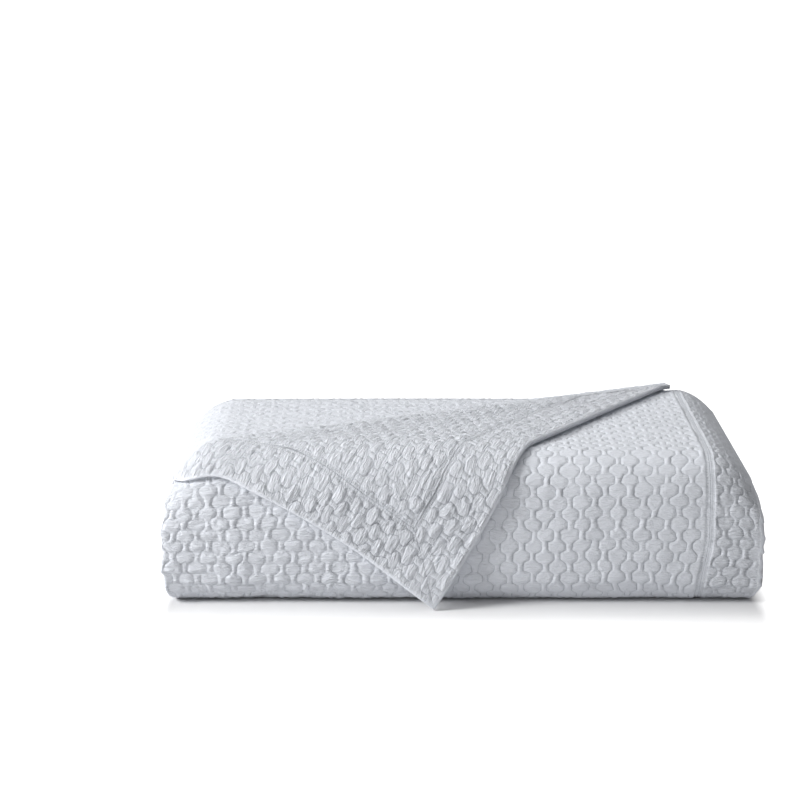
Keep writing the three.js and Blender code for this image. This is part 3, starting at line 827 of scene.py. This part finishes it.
def creaseRoll():
    flapTop = turned["clearance"] + turned["cloth"]
    thick = stack["cloth"]
    middle, outer = (flapTop - thick) / 2, (flapTop + thick) / 2
    inner, inset, reach = turned["clearance"] / 2, crease["inset"], crease["reach"]
    profile = [(reach, flapTop - inset), (reach * 0.5, flapTop - inset * 0.6)]
    for angle in np.linspace(math.pi / 2, math.pi * 1.5, crease["steps"] + 1):
        profile.append((outer * math.cos(angle), middle + (outer - inset * 0.3) * math.sin(angle)))
    profile += [(reach, -thick + inset), (reach, -inset)]
    for angle in np.linspace(-math.pi / 2, -math.pi * 1.5, 7):
        profile.append((inner * math.cos(angle), turned["clearance"] / 2 + (inner + inset) * math.sin(angle)))
    profile.append((reach, turned["clearance"] + inset))
    flat = np.array(profile)
    first = (-stack["end"] + 5 - creaseMiddle[0]) / along[0]
    last = (stack["rightSeam"] - 14 - creaseMiddle[0]) / along[0]
    stops = linesBetween(first, last, crease["step"])
    count = len(flat)
    stop, ring = np.meshgrid(stops, np.arange(count), indexing="ij")
    d, h = flat[ring, 0], flat[ring, 1]
    outerRun = ring <= crease["steps"] + 2
    step = np.linalg.norm(np.diff(flat, axis=0, prepend=flat[:1]), axis=1)
    runLength = np.cumsum(step)[ring]
    x = creaseMiddle[0] + along[0] * stop + inward[0] * d
    t = creaseMiddle[1] + along[1] * stop + inward[1] * d
    a = stop / quilting["chainPitch"] * 0.9 + 0.3 * runLength / quilting["rowPitch"]
    b = runLength / quilting["rowPitch"]
    ripple = crease["relief"] * (quiltHeight(a, b, crease["seed"], 0.7) - 0.5)
    ripple = ripple + 0.4 * cloudy(stop / 9, runLength / 14, 3)
    h = h + np.where(outerRun, ripple * smoothStep(-d, -reach, 0), 0)
    points = wrapped(x, t, h).reshape(-1, 3)
    index = np.arange(len(stops) * count).reshape(len(stops), count)
    faces = [face[::-1] for face in ringFaces(index)]
    faces += [index[0].tolist(), index[-1].tolist()[::-1]]
    pattern = np.stack([a.ravel(), b.ravel()], axis=-1)
    return clothObject("creaseRoll", points, faces, pattern, (0.5, 0.7, 0), faceCotton)


creaseFold = creaseRoll()

# The folded layers inside, one back-and-forth section with soft ends
layers = {"spacing": 6.0, "stagger": 5.0, "turnUneven": 3.0, "frontSlack": 0.3, "wave": 0.45, "seed": 51}
layerPitch = (stack["height"] - stack["cloth"]) / (2 * stack["wraps"] - 1)
half = stack["cloth"] / 2


def layerHash(i, j):
    return float(hashed(float(i), float(j), 0.0))


def foldedPath():
    # the middle line of the cloth as rows of (y, z, layer, level)
    path = []

    def run(y0, z0, y1, layer):
        for share in np.linspace(0, 1, max(2, round(abs(y1 - y0) / layers["spacing"])) + 1)[:-1]:
            path.append((y0 + (y1 - y0) * share, z0, layer, z0))

    def arc(y, z, radius, start, stop, layer):
        steps = max(4, round(abs(stop - start) * max(radius, 3) / 3))
        for share in np.linspace(0, 1, steps + 1)[:-1]:
            angle = start + (stop - start) * share
            spot = z + radius * math.sin(angle)
            path.append((y + radius * math.cos(angle), spot, layer, spot))

    def layerZ(k):
        return k * layerPitch + half

    def backY(k, upper):
        uneven = layers["turnUneven"] * (1 + layerHash(k, 3 if upper else 7))
        return stack["depth"] - stack["turnInset"] - uneven

    quarter = math.pi / 2
    run(stack["depth"] - 20, half, backY(0, False), 0)
    arc(backY(0, False), (half + layerZ(1)) / 2, (layerZ(1) - half) / 2, -quarter, quarter, 0.5)
    for k in range(1, stack["wraps"]):
        low, high = layerZ(k), stack["height"] - layerZ(k)
        front = k * (layerPitch + layers["frontSlack"]) + half
        limit = (high - low) / 2
        lower = min(stack["bottomBend"] - half - 1.2 * k, limit)
        upper = min(stack["topBend"] - half - 1.5 * k, high - low - lower, limit)
        climbing = k % 2 == 1
        came = backY(k - 1, not climbing) if k > 1 else backY(0, False)
        # each bend has its run's height, its centre, its radius and the angle of its run's side
        bends = [(low, front + lower, low + lower, lower, 3 * quarter),
                 (high, front + upper, high - upper, upper, quarter)]
        first, second = bends if climbing else bends[::-1]
        run(came, first[0], first[1], k)
        arc(*first[1:], 2 * quarter, k)
        arc(*second[1:4], 2 * quarter, second[4], k)
        level = second[0]
        if k + 1 < stack["wraps"]:
            back = backY(k, climbing)
            run(second[1], level, back, k)
            following = stack["height"] - layerZ(k + 1) if climbing else layerZ(k + 1)
            turn = (quarter, -quarter) if climbing else (-quarter, quarter)
            arc(back, (level + following) / 2, abs(following - level) / 2, *turn, k + 0.5)
        else:
            back = stack["depth"] - stack["turnInset"]
            run(second[1], level, back, k)
            path.append((back, level, k, level))
    return np.array(path)


def foldedLayers():
    path = foldedPath()
    forward = np.gradient(path[:, :2], axis=0)
    forward = forward / np.linalg.norm(forward, axis=1)[:, None]
    normal = np.stack([-forward[:, 1], forward[:, 0]], axis=-1)
    length = np.concatenate([[0], np.cumsum(np.linalg.norm(np.diff(path[:, :2], axis=0), axis=1))])
    end = stack["end"]
    inset = np.array([0, 0.25, 0.9, 1.9, 3.3, 6, 9, 12, 16, 20, 25, 30, 38, 55])
    thin = np.sqrt(np.clip(1 - np.clip(1 - inset / 3.3, 0, 1) ** 2, 0, 1))
    thin = np.maximum(thin, 0.12)
    xs = np.concatenate([-(end - inset), linesBetween(-200, 200, 100), (end - inset)[::-1]])
    shares = np.concatenate([thin, np.ones(5), thin[::-1]])
    rings, patterns = [], []
    for x, share in zip(xs, shares):
        hand = 1 if x > 0 else -1
        out = np.clip((abs(x) - (end - 25)) / 25, 0, 1)
        short = 0.5 + 0.5 * hashed(2 * path[:, 2], 11.0 if hand > 0 else 5.0, 0.0)
        place = x - hand * out**1.5 * layers["stagger"] * short
        wave = cloudy(length / 13, np.full_like(length, x / 12), layers["seed"])
        wave = layers["wave"] * wave * smoothStep(end - abs(x), 0, 6)
        sides = []
        for sign in (1, -1):
            off = sign * half * share + wave * 0.5
            y, z = path[:, 0] + normal[:, 0] * off, path[:, 1] + normal[:, 1] * off
            sides.append(settled(place, y, np.clip(z, 0, None), path[:, 3]))
        rings.append(np.concatenate([sides[0], sides[1][::-1]]))
        rowsOf = np.concatenate([length, length[::-1]]) / quilting["rowPitch"]
        patterns.append(np.stack([np.full(len(rowsOf), x / quilting["chainPitch"]), rowsOf], axis=-1))
    count = len(rings[0])
    points = np.concatenate(rings)
    index = np.arange(len(rings) * count).reshape(len(rings), count)
    faces = ringFaces(index)
    n = count // 2
    for ring, turn in ((index[0], 1), (index[-1], -1)):
        for k in range(n - 1):
            face = [int(ring[k]), int(ring[count - 1 - k]), int(ring[count - 2 - k]), int(ring[k + 1])]
            faces.append(face[::turn])
    piece = clothObject("foldedLayers", points, faces, np.concatenate(patterns), (0.7, 0.9, 0), layerCotton)
    form = bmesh.new()
    form.from_mesh(piece.data)
    bmesh.ops.recalc_face_normals(form, faces=form.faces[:])
    form.to_mesh(piece.data)
    form.free()
    return piece


def layersLength():
    steps = np.diff(foldedPath()[:, :2], axis=0)
    return round(float(np.linalg.norm(steps, axis=1).sum()) / 1000, 3)


innerLayers = foldedLayers()

# The quilted top of the layer below, where the turned corner leaves it bare
nextTop = {"fine": 2.0, "tucked": 22.0, "seed": 83, "phase": (3.0, 5.0)}


def nextPlace(x, t, h):
    level = stack["height"] - layerPitch - half
    hand = np.sign(x)
    out = np.clip((np.abs(x) - (stack["end"] - 25)) / 25, 0, 1)
    short = 0.5 + 0.5 * np.where(hand > 0, layerHash(2, 11), layerHash(2, 5))
    thin = np.sqrt(np.clip(1 - np.clip(1 - (stack["end"] - np.abs(x)) / 3.3, 0, 1) ** 2, 0.015, 1))
    place = x - hand * out**1.5 * layers["stagger"] * short
    return settled(place, stack["topBend"] + t, level + half * thin + h, np.full_like(x, level))


def nextHeight(x, t):
    a, b = wandered((x - nextTop["phase"][0]) / quilting["chainPitch"],
                    (t - nextTop["phase"][1]) / quilting["rowPitch"], nextTop["seed"])
    byEnd = smoothStep(stack["end"] - np.abs(x), 0.5, 7) * smoothStep(290 - t, 0, 8)
    byRoll = smoothStep(-toCrease(x, t), -nextTop["tucked"], 2 - nextTop["tucked"] * 0.5)
    show = byEnd * byRoll
    h = 0.1 + (quiltHeight(a, b, nextTop["seed"], 0.4) * 0.9 + 0.9) * show
    return a, b, h, (show * 0.7, 0.7 * show, 0 * show)


nextLayer = splitSlab(
    "nextLayer",
    [(1, 0, -stack["end"] + 0.5), (-1, 0, -250), (0, 1, 12), (0, -1, -292),
     (-inward[0], -inward[1], -inward @ creaseMiddle - nextTop["tucked"])],
    ((linesBetween(-319.5, 250, nextTop["fine"]), linesBetween(10, 292, nextTop["fine"] * 1.3)), flatPlace),
    ((linesBetween(-319.5, 250, 25), linesBetween(10, 292, 25)), flatPlace),
    nextHeight,
    lambda x, t: np.full_like(x, -2.5),
    nextPlace,
    faceCotton,
)

# Stitches of the seams and hems, set along their paths
stitching = {
    "pitch": 3.0, "length": 1.9, "width": 0.9, "rise": 0.55, "rowsApart": 6.0, "hemIn": 4.6, "seed": 5,
}


def stitchTree(material):
    tree, given, result = openGroup(
        "stitchRow", "GeometryNodeTree",
        [("Geometry", "Geometry"), ("Pitch", "Float", 0.003), ("Stitch Length", "Float", 0.002),
         ("Stitch Width", "Float", 0.0007), ("Stitch Rise", "Float", 0.0004), ("Seed", "Int", 5)],
        [("Geometry", "Geometry")],
    )

    def made(kind, inputs, **settings):
        return addNode(tree, kind, inputs, **settings).outputs

    path = made("GeometryNodeMeshToCurve", {0: given["Geometry"]})[0]
    spaced = made("GeometryNodeResampleCurve", {"Curve": path, "Length": given["Pitch"]}, mode="LENGTH")[0]
    thread = made("GeometryNodeMeshUVSphere", {"Segments": 6, "Rings": 4, "Radius": 0.5})["Mesh"]
    # a stitch points along its row, and its top away from the cloth
    tangent = made("GeometryNodeInputTangent", {})[0]
    lift = made("GeometryNodeInputNamedAttribute", {"Name": "lift"}, data_type="FLOAT_VECTOR")["Attribute"]
    ahead = made("FunctionNodeAlignRotationToVector", {"Vector": tangent}, axis="X")[0]
    turnUp = {"Rotation": ahead, "Vector": lift}
    upward = made("FunctionNodeAlignRotationToVector", turnUp, axis="Z", pivot_axis="X")[0]
    size = made("ShaderNodeCombineXYZ", {
        0: given["Stitch Length"], 1: given["Stitch Width"], 2: given["Stitch Rise"],
    })[0]
    spread = {"Min": 0.8, "Max": 1.1, "Seed": given["Seed"]}
    vary = made("FunctionNodeRandomValue", spread, data_type="FLOAT")[1]
    scaled = made("ShaderNodeVectorMath", {0: size, "Scale": vary}, operation="SCALE")[0]
    placed = made("GeometryNodeInstanceOnPoints", {
        "Points": spaced, "Instance": thread, "Rotation": upward, "Scale": scaled,
    })[0]
    real = made("GeometryNodeRealizeInstances", {0: placed})[0]
    finish = made("GeometryNodeSetMaterial", {"Geometry": real, "Material": material})[0]
    tree.links.new(finish, result[0])
    return tree


def stitchRows(name, paths, tree, material):
    # each path is (points, lifts) in millimetres, already on the cloth
    mesh = bpy.data.meshes.new(name + "Path")
    points, lifts, edges = [], [], []
    for spots, ups in paths:
        start = len(points)
        points += ((spots - np.array([0, stack["toCentre"], 0])) / 1000).tolist()
        lifts += ups.tolist()
        edges += [(start + k, start + k + 1) for k in range(len(spots) - 1)]
    mesh.from_pydata(points, edges, [])
    lift = mesh.attributes.new("lift", "FLOAT_VECTOR", "POINT")
    lift.data.foreach_set("vector", np.array(lifts, np.float32).ravel())
    carrier = addObject(name + "Path", mesh)
    rows = carrier.modifiers.new("stitches", "NODES")
    rows.node_group = tree
    sizes = {
        "Pitch": stitching["pitch"] / 1000,
        "Stitch Length": stitching["length"] / 1000,
        "Stitch Width": stitching["width"] / 1000,
        "Stitch Rise": stitching["rise"] * 2 / 1000,
        "Seed": stitching["seed"],
    }
    for item in tree.interface.items_tree:
        if item.item_type == "SOCKET" and item.in_out == "INPUT" and item.name in sizes:
            rows[item.identifier] = sizes[item.name]
    bpy.context.view_layer.update()
    evaluated = carrier.evaluated_get(bpy.context.evaluated_depsgraph_get())
    result = bpy.data.meshes.new_from_object(evaluated)
    result.name = name
    piece = addObject(name, result)
    bpy.data.objects.remove(carrier)
    bpy.data.meshes.remove(mesh)
    if not result.materials:
        result.materials.append(material)
    print("made", name, "with", len(result.polygons), "faces")
    return piece


def onCloth(mapped, top, x, t):
    h = top(x, t)[2]
    spots = mapped(x, t, h + 0.12)
    ups = mapped(x, t, h + 1.12) - spots
    return spots, ups / np.linalg.norm(ups, axis=1)[:, None]


def threadCotton():
    material, tree, shader = newMaterial("threadCotton", {"Roughness": 0.8, "Sheen Weight": 0.2})
    place = addNode(tree, "ShaderNodeTexCoord", {})
    inputs = {"Place": place.outputs["Object"], "Scale": clothLooks["threadScale"]}
    weave = addNode(tree, "ShaderNodeGroup", inputs, node_tree=cottonWeave)
    tree.links.new(mottled(tree, weave, (0.86, 0.875, 0.9, 1)), shader["Base Color"])
    bump = addNode(tree, "ShaderNodeBump", {"Height": weave.outputs["Height"], "Distance": 0.0001})
    tree.links.new(bump.outputs[0], shader["Normal"])
    return material


thread = threadCotton()
stitchNodes = stitchTree(thread)
seamRun = linesBetween(bottomRunStart + 14, backT - 3, 3)
apart = stitching["rowsApart"] / 2
seamX = stack["rightSeam"] + rightBorder["gap"] / 2
rightStitches = stitchRows("rightStitches", [
    onCloth(wrapped, outerTop, np.full_like(seamRun, seamX - apart), seamRun),
    onCloth(wrapped, rightTop, np.full_like(seamRun, seamX + apart), seamRun),
    onCloth(wrapped, rightTop, np.full_like(seamRun, stack["end"] - stitching["hemIn"]), seamRun),
], stitchNodes, thread)


def cornerPath(top, u, w):
    x, t = cornerPlace(u, w)
    clear = (x - creaseMiddle[0]) * inward[0] + (t - creaseMiddle[1]) * inward[1] > 14
    return onCloth(bowedHanging, top, x[clear], t[clear])


sideHemRun = linesBetween(stitching["hemIn"], sideHemLength - 30, 3)
endHemRun = linesBetween(stitching["hemIn"], endHemLength, 3)
sideSeamRun = linesBetween(border + apart, sideHemLength, 3)
endSeamRun = linesBetween(border + apart, endHemLength, 3)


def beside(run, offset):
    return np.full_like(run, offset)


cornerStitches = stitchRows("cornerStitches", [
    cornerPath(fieldTop, sideSeamRun, beside(sideSeamRun, border + apart)),
    cornerPath(stripTop, sideSeamRun, beside(sideSeamRun, border - apart)),
    cornerPath(fieldTop, beside(endSeamRun, border + apart), endSeamRun),
    cornerPath(stripTop, beside(endSeamRun, border - apart), endSeamRun),
    cornerPath(stripTop, sideHemRun, beside(sideHemRun, stitching["hemIn"])),
    cornerPath(stripTop, beside(endHemRun, stitching["hemIn"]), endHemRun),
], stitchNodes, thread)

# What each piece rides on, stands for and is cut from
clothLength = layersLength()
dressing = [
    (innerLayers, "quilted_panel", "quilted_face", (0.64, clothLength), None, ["outerLayer"], [nextLayer]),
    (outerLayer, "quilted_panel", "quilted_face", (0.58, 0.828), 0.385, ["foldedLayers"], []),
    (creaseFold, "quilted_panel", "quilted_face", (0.65, 0.048), None, ["outerLayer"], []),
    (cornerField, "quilted_panel", "reverse_face", (0.27, 0.47), 0.0512, ["outerLayer"], [cornerStitches]),
    (borderRight, "border_right", "border_face", (0.06, 0.828), None, ["foldedLayers"], [rightStitches]),
    (borderCornerSide, "border_corner_side", "reverse_face", (0.057, 0.333), 0.0164, ["outerLayer"], []),
    (borderCornerEnd, "border_corner_end", "reverse_face", (0.057, 0.574), 0.0283, ["outerLayer"], []),
]
for piece, node, finish, flat, area, under, extra in dressing:
    for part in (piece, *extra):
        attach(part, "root")
    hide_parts(node)
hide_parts("quilted_panel")
print("pieces set on the frame, with", clothLength, "m of cloth in the folded layers")

# Floor, light and camera
paleFloor = {
    "colour": (0.78, 0.78, 0.785, 1), "shadeRoom": (0.31, 0.161, 0), "quicker": (8, 1, 1), "gain": 5.5,
    "most": 0.95,
}
floorMesh = bpy.data.meshes.new("floor")
floorMesh.from_pydata([(-14, -6, 0), (14, -6, 0), (14, 22, 0), (-14, 22, 0)], [], [(0, 1, 2, 3)])
floor = addObject("floor", floorMesh)
floorPaint, floorTree, floorShader = newMaterial("palePaint", {
    "Base Color": paleFloor["colour"], "Roughness": 0.9, "Specular IOR Level": 0.1,
    "Emission Color": (1, 1, 1, 1),
})
# the floor fades to white a little way off the cloth: painted light, a glow seen only by the camera that
# grows with distance from the cloth and washes out its shade there
floorAway = addNode(floorTree, "ShaderNodeTexCoord", {}).outputs["Object"]
for operation, *amount in (
    ("ABSOLUTE",), ("SUBTRACT", paleFloor["shadeRoom"]), ("MAXIMUM", (0, 0, 0)),
    ("MULTIPLY", paleFloor["quicker"]), ("LENGTH",),
):
    inputs = dict(enumerate([floorAway, *amount]))
    step = addNode(floorTree, "ShaderNodeVectorMath", inputs, operation=operation)
    floorAway = step.outputs["Value" if operation == "LENGTH" else "Vector"]
floorRay = addNode(floorTree, "ShaderNodeLightPath", {})
floorMath = mathIn(floorTree)
floorGlow = floorMath("MINIMUM", floorMath("MULTIPLY", floorAway, paleFloor["gain"]), paleFloor["most"])
floorGlow = floorMath("MULTIPLY", floorGlow, floorRay.outputs["Is Camera Ray"])
floorTree.links.new(floorGlow, floorShader["Emission Strength"])
floorMesh.materials.append(floorPaint)

lighting = {
    "world": 0.24,
    "aimHeight": 0.08,
    "key": {"place": (-1.8, -0.76, 1.15), "size": 0.65, "power": 43.5},
    "fill": {"place": (-0.4, -2.6, 1.4), "size": 2.0, "power": 4.5},
    "top": {"place": (-0.1, 0.9, 2.1), "size": 1.2, "power": 17.0},
}
world = bpy.data.worlds.new("studio")
bpy.context.scene.world = world
world.use_nodes = True
world.node_tree.nodes["Background"].inputs["Color"].default_value = (1, 1, 1, 1)
world.node_tree.nodes["Background"].inputs["Strength"].default_value = lighting["world"]


def turnTo(thing, place, aim):
    thing.location = place
    thing.rotation_euler = (aim - thing.location).to_track_quat("-Z", "Y").to_euler()


for name in ("key", "fill", "top"):
    setting = lighting[name]
    lamp = bpy.data.lights.new(name, "AREA")
    lamp.size = setting["size"]
    lamp.energy = setting["power"]
    turnTo(addObject(name, lamp), setting["place"], Vector((0, 0, lighting["aimHeight"])))

viewing = {
    "aim": (-0.0666, -0.175, 0.2247), "elevation": 12.0, "distance": 2.6, "across": 0.838, "sensor": 36,
}
angle = math.radians(viewing["elevation"])
lens = bpy.data.cameras.new("camera")
lens.sensor_width = viewing["sensor"]
lens.lens = viewing["sensor"] * viewing["distance"] / viewing["across"]
camera = addObject("camera", lens)
aim = Vector(viewing["aim"])
turnTo(camera, aim + viewing["distance"] * Vector((0, -math.cos(angle), math.sin(angle))), aim)
bpy.context.scene.camera = camera
bpy.context.scene.view_settings.view_transform = "Standard"
print("light and camera set")
